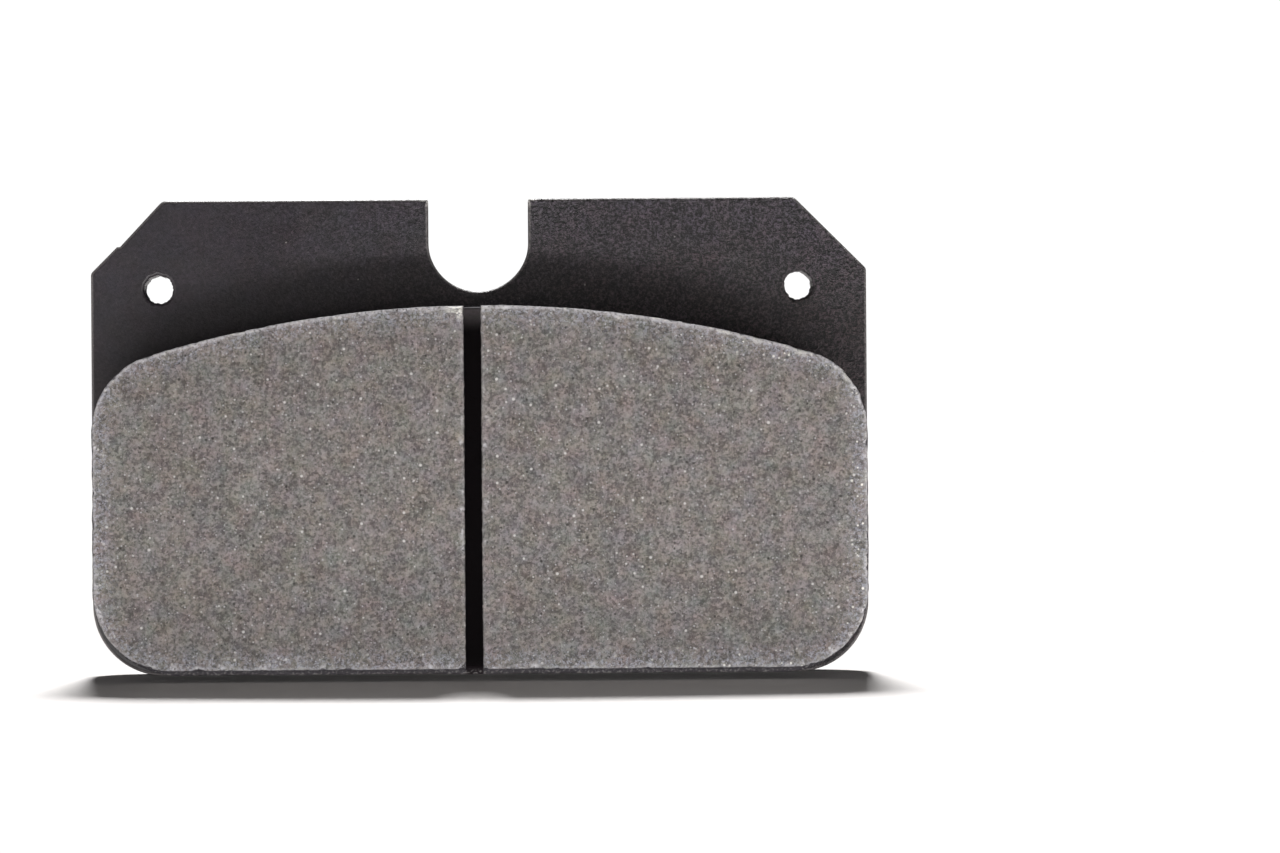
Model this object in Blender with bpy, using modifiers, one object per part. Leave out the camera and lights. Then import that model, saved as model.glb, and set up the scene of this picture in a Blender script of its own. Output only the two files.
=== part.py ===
"""Brake pad for a fixed racing caliper, modelled as its separate layers.

The pad stands upright on its bottom edge: X runs along its length, +Z points away from the
wheel's centre, and the friction face looks towards -Y. The origin is at the middle of the
bounding box's base. All sizes are in metres.
"""

import math

import bmesh
import bpy
from mathutils import Matrix, Vector

# Steel backing plate
PLATE_WIDTH = 0.1315
PLATE_HEIGHT = 0.0805
PLATE_THICKNESS = 0.0052
PLATE_CORNER_CUT = 0.0122
PLATE_BOTTOM_RADIUS = 0.0120
PLATE_EDGE_BREAK = 0.0004

# Guide-bolt notch in the middle of the plate's top edge
NOTCH_WIDTH = 0.0170
NOTCH_DEPTH = 0.0157

# Retention-pin holes in the plate's two ears
PIN_HOLE_DIAMETER = 0.0050
PIN_HOLE_SPACING = 0.1085
PIN_HOLE_DROP = 0.0150

# Friction block: its outline follows the disc's outer edge along the top
PAD_THICKNESS = 0.0206
LEDGE = 0.0019
FRICTION_TOP = 0.0619
FRICTION_ARC_RADIUS = 0.1890
FRICTION_CORNER_RADIUS = 0.0127
SLOT_WIDTH = 0.0029
SLOT_SHIFT = -0.0011

# Layers between the plate and the friction block, with the clearance between solids
GAP = 0.0003
FILM_GAP = 0.00015
FILM_THICKNESS = 0.0002
UNDERLAYER_THICKNESS = 0.0030
FLANGE_THICKNESS = 0.0005
FLANGE_REACH = 0.0018
FLANGE_REACH_TOP = 0.0006
FLARE_HEIGHT = 0.0020

# Keys of underlayer compound, moulded through holes in the plate
KEY_HOLE_DIAMETER = 0.0120
KEY_PLACES = [(-0.0440, 0.0280), (-0.0170, 0.0330), (0.0170, 0.0330), (0.0440, 0.0280)]

# How finely round stretches are divided
CROWN_STEPS = 10
CORNER_STEPS = 8
FLARE_STEPS = 4
HOLE_SIDES = 32

# Depth of each layer, from the plate's back face at the rear to the friction face
BACK_Y = PAD_THICKNESS / 2
PLATE_FRONT_Y = BACK_Y - PLATE_THICKNESS
FILM_BACK_Y = PLATE_FRONT_Y - FILM_GAP
FILM_FRONT_Y = FILM_BACK_Y - FILM_THICKNESS
UNDERLAYER_BACK_Y = FILM_FRONT_Y - FILM_GAP
UNDERLAYER_FRONT_Y = UNDERLAYER_BACK_Y - UNDERLAYER_THICKNESS
FRICTION_BACK_Y = UNDERLAYER_FRONT_Y - GAP
FACE_Y = -PAD_THICKNESS / 2

# name: (colour, roughness, metallic)
MATERIALS = {
    "black_paint": ((0.045, 0.042, 0.046), 0.45, 0.0),
    "adhesive": ((0.050, 0.035, 0.020), 0.55, 0.0),
    "underlayer_compound": ((0.075, 0.068, 0.074), 0.85, 0.0),
    "friction_compound": ((0.210, 0.185, 0.170), 0.95, 0.0),
}


def clear_scene():
    for item in list(bpy.data.objects):
        bpy.data.objects.remove(item, do_unlink=True)


def new_collection(name):
    collection = bpy.data.collections.new(name)
    bpy.context.scene.collection.children.link(collection)
    return collection


def make_materials():
    made = {}
    for name, (colour, roughness, metallic) in MATERIALS.items():
        material = bpy.data.materials.new(name)
        material.use_nodes = True
        shader = material.node_tree.nodes["Principled BSDF"]
        shader.inputs["Base Color"].default_value = (*colour, 1.0)
        shader.inputs["Roughness"].default_value = roughness
        shader.inputs["Metallic"].default_value = metallic
        material.diffuse_color = (*colour, 1.0)
        made[name] = material
    return made


def arc(centre, first_radius, last_radius, start, end, steps):
    """Points (x, z) round a centre, from one angle to another in degrees."""
    points = []
    for step in range(steps + 1):
        along = step / steps
        angle = math.radians(start + (end - start) * along)
        radius = first_radius + (last_radius - first_radius) * along
        points.append((centre[0] + radius * math.cos(angle), centre[1] + radius * math.sin(angle)))
    return points


def mirrored(right_half):
    """A whole outline from the points of its right half, listed from the bottom to the top."""
    left_half = [(-x, z) for x, z in reversed(right_half) if x > 1e-6]
    return right_half + left_half


def plate_outline():
    half = PLATE_WIDTH / 2
    radius = PLATE_BOTTOM_RADIUS
    right = arc((half - radius, radius), radius, radius, -90, 0, CORNER_STEPS)
    right.append((half, PLATE_HEIGHT - PLATE_CORNER_CUT))
    right.append((half - PLATE_CORNER_CUT, PLATE_HEIGHT))
    return mirrored(right)


def notch_outline():
    """The U of the notch, open upwards past the plate's top edge."""
    radius = NOTCH_WIDTH / 2
    centre = (0.0, PLATE_HEIGHT - NOTCH_DEPTH + radius)
    above = PLATE_HEIGHT + radius
    bottom = arc(centre, radius, radius, 180, 360, 2 * CORNER_STEPS)
    return bottom + [(radius, above), (-radius, above)]


def block_outline(share=0.0):
    """The friction block's outline, grown by a share of the flange's reach beyond it."""
    grow = share * FLANGE_REACH
    grow_top = share * FLANGE_REACH_TOP
    radius = FRICTION_CORNER_RADIUS
    side = PLATE_WIDTH / 2 - LEDGE - radius
    arc_centre_z = FRICTION_TOP - FRICTION_ARC_RADIUS
    shoulder_z = arc_centre_z + math.sqrt((FRICTION_ARC_RADIUS - radius) ** 2 - side ** 2)
    meeting = math.degrees(math.atan2(shoulder_z - arc_centre_z, side))
    right = arc((side, LEDGE + radius), radius + grow, radius + grow, -90, 0, CORNER_STEPS)
    right += arc((side, shoulder_z), radius + grow, radius + grow_top, 0, meeting, CORNER_STEPS)
    crown_radius = FRICTION_ARC_RADIUS + grow_top
    crown = arc((0.0, arc_centre_z), crown_radius, crown_radius, meeting, 90, CROWN_STEPS)
    return mirrored(right + crown[1:])


def place(mesh, name, material, collection):
    item = bpy.data.objects.new(name, mesh)
    mesh.materials.append(material)
    collection.objects.link(item)
    return item


def slab(name, outline, back, front, material, collection):
    """A flat outline in the XZ plane, filled and extruded from y = back to y = front."""
    curve = bpy.data.curves.new(name + "_outline", "CURVE")
    curve.dimensions = "2D"
    curve.fill_mode = "BOTH"
    curve.extrude = abs(back - front) / 2
    spline = curve.splines.new("POLY")
    spline.points.add(len(outline) - 1)
    for point, (x, z) in zip(spline.points, outline):
        point.co = (x, z, 0.0, 1.0)
    spline.use_cyclic_u = True
    guide = bpy.data.objects.new(name + "_guide", curve)
    collection.objects.link(guide)
    upright = Matrix.Rotation(math.radians(90), 4, "X")
    guide.matrix_world = Matrix.Translation((0.0, (back + front) / 2, 0.0)) @ upright
    bpy.context.view_layer.update()
    evaluated = guide.evaluated_get(bpy.context.evaluated_depsgraph_get())
    mesh = bpy.data.meshes.new_from_object(evaluated)
    mesh.transform(guide.matrix_world)
    weld = bmesh.new()
    weld.from_mesh(mesh)
    bmesh.ops.remove_doubles(weld, verts=weld.verts, dist=1e-5)
    bmesh.ops.recalc_face_normals(weld, faces=weld.faces)
    weld.to_mesh(mesh)
    weld.free()
    bpy.data.objects.remove(guide, do_unlink=True)
    mesh.materials.clear()
    return place(mesh, name, material, collection)


def rod(name, diameter, place_xz, back, front, material, collection):
    """A cylinder along Y at (x, z)."""
    mesh = bpy.data.meshes.new(name)
    shape = bmesh.new()
    bmesh.ops.create_cone(
        shape,
        cap_ends=True,
        segments=HOLE_SIDES,
        radius1=diameter / 2,
        radius2=diameter / 2,
        depth=abs(back - front),
        matrix=Matrix.Rotation(math.radians(90), 4, "X"),
    )
    middle = Vector((place_xz[0], (back + front) / 2, place_xz[1]))
    bmesh.ops.translate(shape, verts=shape.verts, vec=middle)
    shape.to_mesh(mesh)
    shape.free()
    return place(mesh, name, material, collection)


def loft(name, sections, material, collection):
    """A solid through outlines with the same number of points, given as (outline, y)."""
    mesh = bpy.data.meshes.new(name)
    shape = bmesh.new()
    rings = []
    for outline, y in sections:
        rings.append([shape.verts.new((x, y, z)) for x, z in outline])
    for ring, following in zip(rings, rings[1:]):
        for index in range(len(ring)):
            after = (index + 1) % len(ring)
            shape.faces.new((ring[index], ring[after], following[after], following[index]))
    shape.faces.new(rings[0])
    shape.faces.new(rings[-1])
    bmesh.ops.recalc_face_normals(shape, faces=shape.faces)
    shape.to_mesh(mesh)
    shape.free()
    return place(mesh, name, material, collection)


def combine(target, other, operation):
    modifier = target.modifiers.new(operation.lower() + "_" + other.name, "BOOLEAN")
    modifier.operation = operation
    modifier.solver = "EXACT"
    modifier.object = other
    other.hide_render = True
    other.display_type = "WIRE"


def break_edges(item, width):
    modifier = item.modifiers.new("edge_break", "BEVEL")
    modifier.width = width
    modifier.segments = 1
    modifier.limit_method = "ANGLE"
    modifier.angle_limit = math.radians(60)
    modifier.use_clamp_overlap = False


def shade_round(item):
    item.data.shade_smooth()
    item.data.set_sharp_from_angle(angle=math.radians(35))


def add_backing_plate(parts, cutters, materials):
    paint = materials["black_paint"]
    plate = slab("backing_plate", plate_outline(), BACK_Y, PLATE_FRONT_Y, paint, parts)
    past = PLATE_THICKNESS
    low = PLATE_FRONT_Y - past
    high = BACK_Y + past
    combine(plate, slab("notch_cutter", notch_outline(), high, low, paint, cutters), "DIFFERENCE")
    for side in (-1, 1):
        where = (side * PIN_HOLE_SPACING / 2, PLATE_HEIGHT - PIN_HOLE_DROP)
        hole = rod("pin_hole_cutter", PIN_HOLE_DIAMETER, where, high, low, paint, cutters)
        combine(plate, hole, "DIFFERENCE")
    for where in KEY_PLACES:
        hole = rod("key_hole_cutter", KEY_HOLE_DIAMETER, where, high, low, paint, cutters)
        combine(plate, hole, "DIFFERENCE")
    break_edges(plate, PLATE_EDGE_BREAK)
    shade_round(plate)


def add_adhesive_film(parts, cutters, materials):
    glue = materials["adhesive"]
    film = slab("adhesive_film", block_outline(1.0), FILM_BACK_Y, FILM_FRONT_Y, glue, parts)
    for where in KEY_PLACES:
        span = (FILM_BACK_Y + GAP, FILM_FRONT_Y - GAP)
        hole = rod("film_hole_cutter", KEY_HOLE_DIAMETER, where, *span, glue, cutters)
        combine(film, hole, "DIFFERENCE")


def add_underlayer(parts, cutters, materials):
    """The base layer: a thin flange that flares up into the block's wall, with its keys."""
    compound = materials["underlayer_compound"]
    rim_y = UNDERLAYER_BACK_Y - FLANGE_THICKNESS
    sections = [(block_outline(1.0), UNDERLAYER_BACK_Y)]
    for step in range(FLARE_STEPS + 1):
        angle = math.radians(90 * step / FLARE_STEPS)
        rise = FLARE_HEIGHT * (1 - math.cos(angle))
        sections.append((block_outline(1 - math.sin(angle)), rim_y - rise))
    sections.append((block_outline(), UNDERLAYER_FRONT_Y))
    underlayer = loft("underlayer", sections, compound, parts)
    key_diameter = KEY_HOLE_DIAMETER - 2 * GAP
    for where in KEY_PLACES:
        span = (BACK_Y - GAP, UNDERLAYER_BACK_Y - UNDERLAYER_THICKNESS / 2)
        key = rod("moulded_key", key_diameter, where, *span, compound, cutters)
        combine(underlayer, key, "UNION")
    shade_round(underlayer)


def add_friction_segments(parts, cutters, materials):
    """Two blocks of friction compound, parted by a slot that stops at the underlayer."""
    compound = materials["friction_compound"]
    past = PLATE_WIDTH
    for name, side in (("friction_segment_left", -1), ("friction_segment_right", 1)):
        block = slab(name, block_outline(), FRICTION_BACK_Y, FACE_Y, compound, parts)
        wall_x = SLOT_SHIFT + side * SLOT_WIDTH / 2
        removed = [
            (wall_x, -past),
            (wall_x - side * past, -past),
            (wall_x - side * past, past),
            (wall_x, past),
        ]
        cutter = slab(name + "_cutter", removed, past, -past, compound, cutters)
        combine(block, cutter, "DIFFERENCE")
        shade_round(block)


def main():
    clear_scene()
    parts = new_collection("brake_pad")
    cutters = new_collection("cutters")
    materials = make_materials()
    add_backing_plate(parts, cutters, materials)
    add_adhesive_film(parts, cutters, materials)
    add_underlayer(parts, cutters, materials)
    add_friction_segments(parts, cutters, materials)


main()
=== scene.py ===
"""Looks for the brake pad: detailed pieces, materials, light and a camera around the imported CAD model.

Everything is in metres in the CAD frame: +X along the pad, +Z up, and the friction face towards -Y.
Each new piece stands for one CAD node and is named for what it is.
"""

import math

import bmesh
import bpy
import numpy as np
from mathutils import Matrix, Vector, geometry, noise


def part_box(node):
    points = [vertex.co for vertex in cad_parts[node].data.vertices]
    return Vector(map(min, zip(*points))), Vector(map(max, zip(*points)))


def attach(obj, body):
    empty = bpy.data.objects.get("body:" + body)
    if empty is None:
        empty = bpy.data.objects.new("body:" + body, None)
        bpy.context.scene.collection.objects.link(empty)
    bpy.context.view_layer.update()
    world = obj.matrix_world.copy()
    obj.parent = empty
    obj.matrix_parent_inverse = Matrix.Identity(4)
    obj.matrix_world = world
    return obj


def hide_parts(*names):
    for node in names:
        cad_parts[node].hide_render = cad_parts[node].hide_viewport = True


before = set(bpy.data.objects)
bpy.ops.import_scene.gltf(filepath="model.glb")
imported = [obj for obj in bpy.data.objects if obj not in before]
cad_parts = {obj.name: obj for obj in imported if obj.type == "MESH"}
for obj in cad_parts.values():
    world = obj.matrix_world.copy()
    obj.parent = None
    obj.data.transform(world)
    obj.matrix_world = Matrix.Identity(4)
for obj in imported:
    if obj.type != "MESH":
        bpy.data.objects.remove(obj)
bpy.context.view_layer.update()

MM = 0.001
TABLE_Z = 0.0

# Places read from the CAD nodes
PLATE_LOW, PLATE_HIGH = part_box("backing_plate")
FILM_LOW, FILM_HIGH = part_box("adhesive_film")
LAYER_LOW, LAYER_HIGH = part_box("underlayer")
LEFT_LOW, LEFT_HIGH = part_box("friction_segment_left")
RIGHT_LOW, RIGHT_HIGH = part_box("friction_segment_right")
BLOCK_HALF = RIGHT_HIGH.x
BLOCK_BOTTOM = RIGHT_LOW.z
BLOCK_TOP = RIGHT_HIGH.z
FACE_Y = RIGHT_LOW.y
SLOT_MIDDLE = (LEFT_HIGH.x + RIGHT_LOW.x) / 2

# Radii and other shapes, as in the CAD model
CORNER_RADIUS = 12.7 * MM
CROWN_RADIUS = 189.0 * MM
PLATE_CORNER_CUT = 12.2 * MM
PLATE_BOTTOM_RADIUS = 12.0 * MM
NOTCH_WIDTH = 17.0 * MM
NOTCH_DEPTH = 15.7 * MM
PIN_HOLE_RADIUS = 2.5 * MM
PIN_HOLE_SPACING = 108.5 * MM
PIN_HOLE_DROP = 15.0 * MM
FLANGE_THICKNESS = 0.5 * MM
FLANGE_REACH = 1.8 * MM
FLANGE_REACH_TOP = 0.6 * MM
FLARE_HEIGHT = 2.0 * MM
KEY_HOLE_RADIUS = 6.0 * MM
KEY_PLACES = [(-44 * MM, 28 * MM), (-17 * MM, 33 * MM), (17 * MM, 33 * MM), (44 * MM, 28 * MM)]

# Centres of the block's corner arcs, its shoulder arcs and its crown
CORNER_X = BLOCK_HALF - CORNER_RADIUS
CORNER_Z = BLOCK_BOTTOM + CORNER_RADIUS
CROWN_Z = BLOCK_TOP - CROWN_RADIUS
SHOULDER_Z = CROWN_Z + math.sqrt((CROWN_RADIUS - CORNER_RADIUS) ** 2 - CORNER_X ** 2)
MEETING = math.atan2(SHOULDER_Z - CROWN_Z, CORNER_X)
QUARTER = math.pi / 2


# ---------------------------------------------------------------- outlines

def steps_for(length, spacing):
    """How many steps of about the spacing a length takes."""
    return max(2, round(length / spacing))


def arc(centre, radius, start, end, steps):
    """Points (x, z) on a circle from start to end, in radians, without the first one."""
    angles = np.linspace(start, end, steps + 1)[1:]
    return np.stack([centre[0] + radius * np.cos(angles), centre[1] + radius * np.sin(angles)], 1)


def line(start, end, steps):
    """Points (x, z) along a straight line, without the first one."""
    along = np.linspace(0.0, 1.0, steps + 1)[1:, None]
    return np.array(start) + along * (np.array(end) - np.array(start))


def outward_normals(outline):
    """Unit normals of a closed outline that runs anticlockwise in x and z."""
    along = np.roll(outline, -1, 0) - np.roll(outline, 1, 0)
    normals = np.stack([along[:, 1], -along[:, 0]], 1)
    return normals / np.linalg.norm(normals, axis=1)[:, None]


def segment_outline(wall, inset, spacing):
    """A friction segment's outline, inset all round, as points (u, z).

    u is the distance from the pad's middle, and wall is the slot wall's u. Every inset gives the
    same number of points, so the outlines can be lofted. The slot wall's points come last.
    """
    radius = CORNER_RADIUS - inset
    crown_radius = CROWN_RADIUS - inset
    inner = wall + inset
    outer = BLOCK_HALF - inset
    low = BLOCK_BOTTOM + inset
    end = math.acos(inner / crown_radius)
    high = CROWN_Z + crown_radius * math.sin(end)
    return np.concatenate([
        line((inner, low), (CORNER_X, low), steps_for(CORNER_X - wall, spacing)),
        arc((CORNER_X, CORNER_Z), radius, -QUARTER, 0.0, steps_for(CORNER_RADIUS * QUARTER, spacing)),
        line((outer, CORNER_Z), (outer, SHOULDER_Z), steps_for(SHOULDER_Z - CORNER_Z, spacing)),
        arc((CORNER_X, SHOULDER_Z), radius, 0.0, MEETING, steps_for(CORNER_RADIUS * MEETING, spacing)),
        arc((0.0, CROWN_Z), crown_radius, MEETING, end, steps_for(CORNER_X - wall, spacing)),
        line((inner, high), (inner, low), slot_wall_steps(spacing)),
    ])


def slot_wall_steps(spacing):
    """How many of a segment outline's points are on the slot wall."""
    return steps_for(BLOCK_TOP - BLOCK_BOTTOM, spacing)


def block_outline(spacing):
    """The whole friction block's outline, anticlockwise, as points (x, z)."""
    right = segment_outline(0.0, 0.0, spacing)[:-slot_wall_steps(spacing)]
    left = right[-2::-1] * np.array([-1.0, 1.0])
    return np.concatenate([right, left, [(0.0, BLOCK_BOTTOM)]])


# ---------------------------------------------------------------- mesh helpers

def rough(points, size, seed, octaves=3):
    """Fractal noise of about -1 to 1 at each point (x, y, z), with features of about size."""
    shift = Vector((seed * 7.3, seed * 3.1, seed * 5.7))
    return np.array([noise.fractal(Vector(p) / size + shift, 1.0, 2.0, octaves) for p in points])


def upright(outline, y):
    """An outline's points (x, z) as points (x, y, z)."""
    return np.stack([outline[:, 0], np.broadcast_to(y, len(outline)), outline[:, 1]], 1)


def ring_faces(first, second, count):
    """Quads between two closed rings of vertices, given by each ring's first index."""
    faces = []
    for index in range(count):
        after = (index + 1) % count
        faces.append((first + index, first + after, second + after, second + index))
    return faces


def add_attribute(mesh, name, values):
    """Gives each vertex a number that a material reads."""
    attribute = mesh.attributes.new(name, "FLOAT", "POINT")
    attribute.data.foreach_set("value", np.asarray(values, np.float32))


def new_piece(name, vertices, faces, material):
    """An object with its faces turned outwards and smooth, except the flat caps with many corners."""
    mesh = bpy.data.meshes.new(name)
    mesh.from_pydata(np.asarray(vertices).tolist(), [], faces)
    shape = bmesh.new()
    shape.from_mesh(mesh)
    bmesh.ops.recalc_face_normals(shape, faces=shape.faces)
    for face in shape.faces:
        face.smooth = len(face.verts) <= 4
    shape.to_mesh(mesh)
    shape.free()
    mesh.materials.append(material)
    piece = bpy.data.objects.new(name, mesh)
    bpy.context.scene.collection.objects.link(piece)
    return piece


def take_place(piece, node):
    """The piece rides on the pad's one body, and stands for its CAD node."""
    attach(piece, "root")
    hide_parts(node)


# ---------------------------------------------------------------- shader helpers

# The colour sockets of a Mix node
MIX_A = 6
MIX_B = 7
MIX_RESULT = 2


class Shader:
    """One material's node tree, textured in object coordinates, which are metres."""

    def __init__(self, name):
        self.material = bpy.data.materials.new(name)
        self.material.use_nodes = True
        self.tree = self.material.node_tree
        self.surface = self.tree.nodes["Principled BSDF"]
        self.place = self.tree.nodes.new("ShaderNodeTexCoord").outputs["Object"]

    def feed(self, socket, value):
        """Sets a socket to a number or colour, or links it to another socket."""
        if isinstance(value, bpy.types.NodeSocket):
            self.tree.links.new(value, socket)
        elif isinstance(value, tuple):
            socket.default_value = (*value, 1.0)
        else:
            socket.default_value = value

    def noise(self, size, detail=2.0, roughness=0.5, seed=0.0):
        """Noise from 0 to 1 with features of a size in metres."""
        node = self.tree.nodes.new("ShaderNodeTexNoise")
        node.noise_dimensions = "4D"
        self.feed(node.inputs["Vector"], self.place)
        self.feed(node.inputs["W"], seed)
        self.feed(node.inputs["Scale"], 1.0 / size)
        self.feed(node.inputs["Detail"], detail)
        self.feed(node.inputs["Roughness"], roughness)
        return node.outputs["Fac"]

    def cells(self, size):
        """Voronoi cells of a size in metres: the distance to the cell's centre, and its colour."""
        node = self.tree.nodes.new("ShaderNodeTexVoronoi")
        self.feed(node.inputs["Vector"], self.place)
        self.feed(node.inputs["Scale"], 1.0 / size)
        return node.outputs["Distance"], node.outputs["Color"]

    def specks(self, size, radius):
        """Scattered specks, from 0 to 1: one to a cell at most, of every radius up to the given one.

        The radius is a share of the cell's size. Most cells have only a faint speck, or none.
        """
        distance, colour = self.cells(size)
        chance = self.channel(colour, "Red")
        spread = self.math("ADD", distance, self.math("MULTIPLY", chance, 2 * radius))
        return self.remap(spread, 0.6 * radius, 1.3 * radius, 1.0, 0.0)

    def channel(self, colour, name):
        """A colour's Red, Green or Blue."""
        node = self.tree.nodes.new("ShaderNodeSeparateColor")
        self.feed(node.inputs["Color"], colour)
        return node.outputs[name]

    def attribute(self, name):
        """A number that the mesh carries at each of its vertices."""
        node = self.tree.nodes.new("ShaderNodeAttribute")
        node.attribute_name = name
        return node.outputs["Fac"]

    def axis(self, name):
        """A place's X, Y or Z in metres."""
        node = self.tree.nodes.new("ShaderNodeSeparateXYZ")
        self.feed(node.inputs["Vector"], self.place)
        return node.outputs[name]

    def remap(self, value, low, high, to_low=0.0, to_high=1.0):
        """Maps low..high to to_low..to_high, smoothly and with both ends held."""
        node = self.tree.nodes.new("ShaderNodeMapRange")
        node.interpolation_type = "SMOOTHSTEP"
        self.feed(node.inputs["Value"], value)
        self.feed(node.inputs["From Min"], low)
        self.feed(node.inputs["From Max"], high)
        self.feed(node.inputs["To Min"], to_low)
        self.feed(node.inputs["To Max"], to_high)
        return node.outputs["Result"]

    def math(self, operation, first, second):
        node = self.tree.nodes.new("ShaderNodeMath")
        node.operation = operation
        self.feed(node.inputs[0], first)
        self.feed(node.inputs[1], second)
        return node.outputs["Value"]

    def mix(self, amount, first, second, blend="MIX"):
        node = self.tree.nodes.new("ShaderNodeMix")
        node.data_type = "RGBA"
        node.blend_type = blend
        self.feed(node.inputs["Factor"], amount)
        self.feed(node.inputs[MIX_A], first)
        self.feed(node.inputs[MIX_B], second)
        return node.outputs[MIX_RESULT]

    def bump(self, height, distance):
        """A normal from a height of 0 to 1, which stands for 0 to distance in metres."""
        node = self.tree.nodes.new("ShaderNodeBump")
        self.feed(node.inputs["Height"], height)
        self.feed(node.inputs["Distance"], distance)
        return node.outputs["Normal"]

    def finish(self, colour, roughness, normal, specular):
        """Connects the surface, and gives the finished material."""
        self.feed(self.surface.inputs["Base Color"], colour)
        self.feed(self.surface.inputs["Roughness"], roughness)
        self.feed(self.surface.inputs["Normal"], normal)
        self.feed(self.surface.inputs["Specular IOR Level"], specular)
        return self.material


# ---------------------------------------------------------------- colours

# Factors for patches of tint
COOL_TINT = (0.86, 1.0, 1.15)
WARM_TINT = (1.14, 1.0, 0.85)
GREEN_TINT = (0.92, 1.09, 0.95)
ROSY_TINT = (1.08, 0.91, 1.05)

# Ground compound
GRAIN_DARK = (0.070, 0.064, 0.060)
GRAIN_LIGHT = (0.277, 0.252, 0.241)
PIT = (0.028, 0.026, 0.024)
FLECK = (0.66, 0.64, 0.62)
DOT = (0.46, 0.45, 0.46)
EDGE_DUST = (0.42, 0.43, 0.50)
# Worn edge, which also carries a painted highlight where the edge faces up
WORN_AND_TOP_LIT_EDGE = (0.60, 0.58, 0.60)
FRESHLY_BROKEN = (0.78, 0.76, 0.70)

# Moulded skin, the slot's walls with painted light at the top and painted shade below, and the
# underlayer's trimmed edge and plugs
SKIN_DARK = (0.080, 0.072, 0.081)
SKIN_LIGHT = (0.132, 0.120, 0.134)
SKIN_GRAIN = (0.048, 0.043, 0.049)
SKIN_AT_BASE = (0.036, 0.032, 0.036)
PORE = (0.004, 0.003, 0.004)
# Painted shade deep in the slot, and painted light where the slot's walls come out at the top
SLOT_PAINTED_SHADE = (0.008, 0.004, 0.006)
SLOT_PAINTED_LIGHT_DARK = (0.17, 0.150, 0.155)
SLOT_PAINTED_LIGHT_BRIGHT = (0.35, 0.310, 0.320)
TRIMMED_EDGE = (0.27, 0.255, 0.25)
PLUG_DARK = (0.028, 0.025, 0.028)
PLUG_LIGHT = (0.105, 0.095, 0.097)

# Paint on the plate, as a copy darkened by painted shade near the block and a copy without it, and the
# steel under it
SHADED_PAINT_DARK = (0.0005, 0.0004, 0.0005)
SHADED_PAINT_LIGHT = (0.066, 0.047, 0.053)
UNSHADED_PAINT_DARK = (0.0010, 0.0008, 0.0011)
UNSHADED_PAINT_LIGHT = (0.098, 0.080, 0.103)
PAINT_SPECK = (0.25, 0.23, 0.22)
RUBBED_PAINT = (0.19, 0.175, 0.175)
BARE_STEEL = (0.62, 0.60, 0.57)

# Adhesive, and the table
GLUE_DARK = (0.016, 0.012, 0.010)
GLUE_LIGHT = (0.040, 0.030, 0.024)
TABLE_DARK = (0.63, 0.61, 0.60)
TABLE_LIGHT = (0.67, 0.65, 0.64)


# ---------------------------------------------------------------- materials

def tinted(shader, colour, size, seed):
    """The colour in patches that lean to warm or cool, and to rosy or green."""
    warm = shader.noise(size, detail=3.0, roughness=0.6, seed=seed)
    colour = shader.mix(1.0, colour, shader.mix(warm, COOL_TINT, WARM_TINT), "MULTIPLY")
    rosy = shader.noise(1.2 * size, detail=2.0, roughness=0.6, seed=seed + 1.0)
    return shader.mix(1.0, colour, shader.mix(rosy, GREEN_TINT, ROSY_TINT), "MULTIPLY")


def crown_height(shader):
    """How far a place is above the friction block's curved top, in metres."""
    x = shader.axis("X")
    z = shader.math("SUBTRACT", shader.axis("Z"), CROWN_Z)
    squares = shader.math("ADD", shader.math("MULTIPLY", x, x), shader.math("MULTIPLY", z, z))
    return shader.math("SUBTRACT", shader.math("POWER", squares, 0.5), CROWN_RADIUS)


def compound_grains(shader, grain):
    """The compound's colour from grains of several sizes, in patches of tint."""
    clump = shader.noise(3.0 * MM, detail=2.0, roughness=0.9, seed=1.0)
    small = shader.channel(shader.cells(0.38 * MM)[1], "Red")
    large = shader.channel(shader.cells(0.80 * MM)[1], "Green")
    light = shader.math("ADD", shader.math("MULTIPLY", grain, 0.7), shader.math("MULTIPLY", clump, 0.4))
    light = shader.math("ADD", light, shader.math("MULTIPLY", small, 0.26))
    light = shader.math("ADD", light, shader.math("MULTIPLY", large, 0.10))
    colour = shader.mix(shader.remap(light, 0.44, 1.10), GRAIN_DARK, GRAIN_LIGHT)
    return tinted(shader, colour, 3.0 * MM, 3.0)


def ground_compound(shader):
    """Colour and height of the compound where it is ground flat.

    It has grains, pits, flecks and dots all over. Along the block's outline it also has dust, and
    crumbs, with more of them towards the right end.
    """
    grain = shader.noise(0.50 * MM, detail=2.0, roughness=0.9, seed=2.0)
    colour = compound_grains(shader, grain)
    pit = shader.specks(1.1 * MM, 0.22)
    colour = shader.mix(shader.math("MULTIPLY", pit, 0.8), colour, PIT)
    fleck = shader.specks(1.4 * MM, 0.19)
    colour = shader.mix(shader.math("MULTIPLY", fleck, 0.62), colour, FLECK)
    dot = shader.specks(0.65 * MM, 0.27)
    colour = shader.mix(shader.math("MULTIPLY", dot, 0.6), colour, DOT)
    near_edge = shader.remap(shader.attribute("inside"), 0.5 * MM, 5 * MM, 1.0, 0.0)
    dusty = shader.remap(shader.noise(0.5 * MM, detail=2.0, roughness=0.8, seed=17.0), 0.50, 0.60)
    dust = shader.math("MULTIPLY", near_edge, dusty)
    colour = shader.mix(shader.math("MULTIPLY", dust, 0.45), colour, EDGE_DUST)
    to_right = shader.remap(shader.axis("X"), 15 * MM, 50 * MM, 0.3, 1.0)
    crumbly = shader.math("MULTIPLY", near_edge, to_right)
    crumb = shader.math("MULTIPLY", shader.specks(0.85 * MM, 0.30), crumbly)
    colour = shader.mix(crumb, colour, FRESHLY_BROKEN)
    height = shader.math("SUBTRACT", grain, pit)
    return colour, height


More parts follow.
